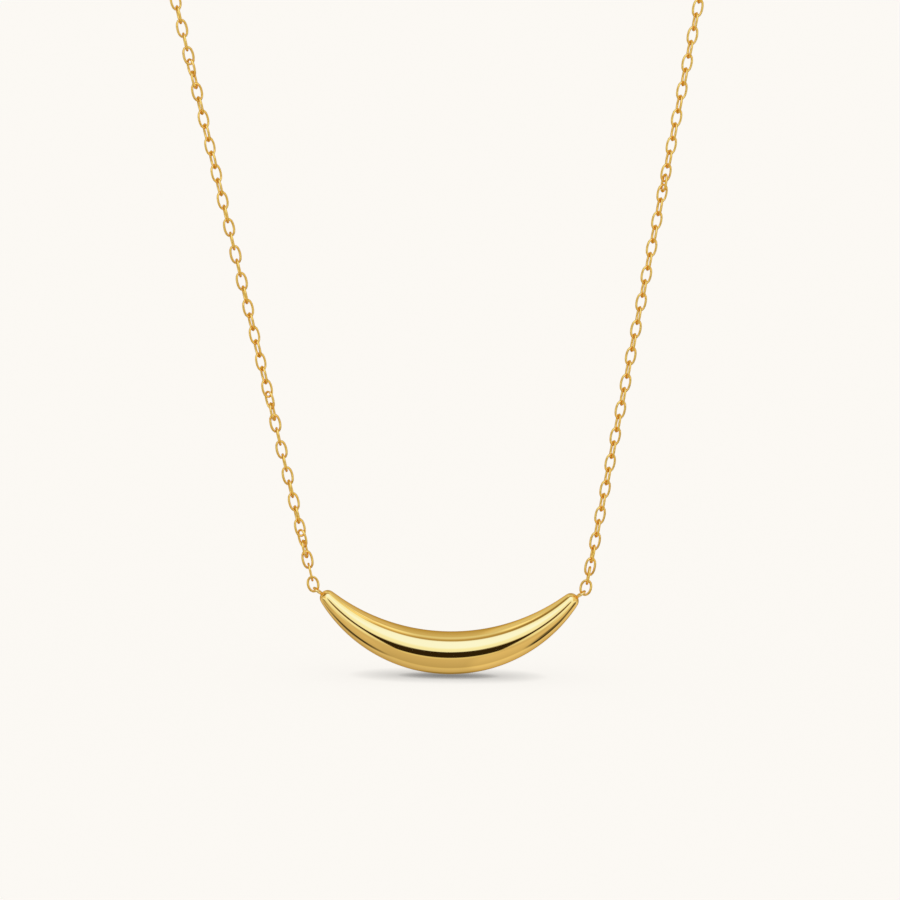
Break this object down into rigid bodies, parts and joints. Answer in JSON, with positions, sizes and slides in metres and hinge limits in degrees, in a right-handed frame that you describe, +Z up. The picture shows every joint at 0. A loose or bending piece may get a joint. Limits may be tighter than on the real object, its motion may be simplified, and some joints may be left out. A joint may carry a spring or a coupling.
{
  "type": "crescent pendant necklace",
  "caption": "Polished crescent pendant hung level by both its tips on a fine oval-link cable chain, closed at the nape by a plain barrel clasp.",
  "frame": {"origin": "middle of the clasp, where the chain lies on the back of the neck", "axes": "+X to the right of someone facing the pendant, +Y back through the neck, +Z up; the pendant hangs at -Y and -Z"},
  "size_m": [0.0915, 0.0821, 0.1287],
  "materials": {
    "pendant_gold": "brass with a mirror-polished gold plate",
    "chain_gold": "brass with a bright gold plate"
  },
  "bodies": {
    "chain": {"chain_left": "chain_gold", "chain_right": "chain_gold", "clasp": "chain_gold"},
    "pendant": {"pendant": "pendant_gold", "jump_ring_left": "chain_gold", "jump_ring_right": "chain_gold"}
  },
  "joints": [
    {"name": "pendant_swing", "type": "hinge", "parent": "chain", "child": "pendant", "pos_m": [0.0024, -0.078, -0.1127], "axis": [1, 0, 0], "range_deg": [-90, 90]}
  ]
}
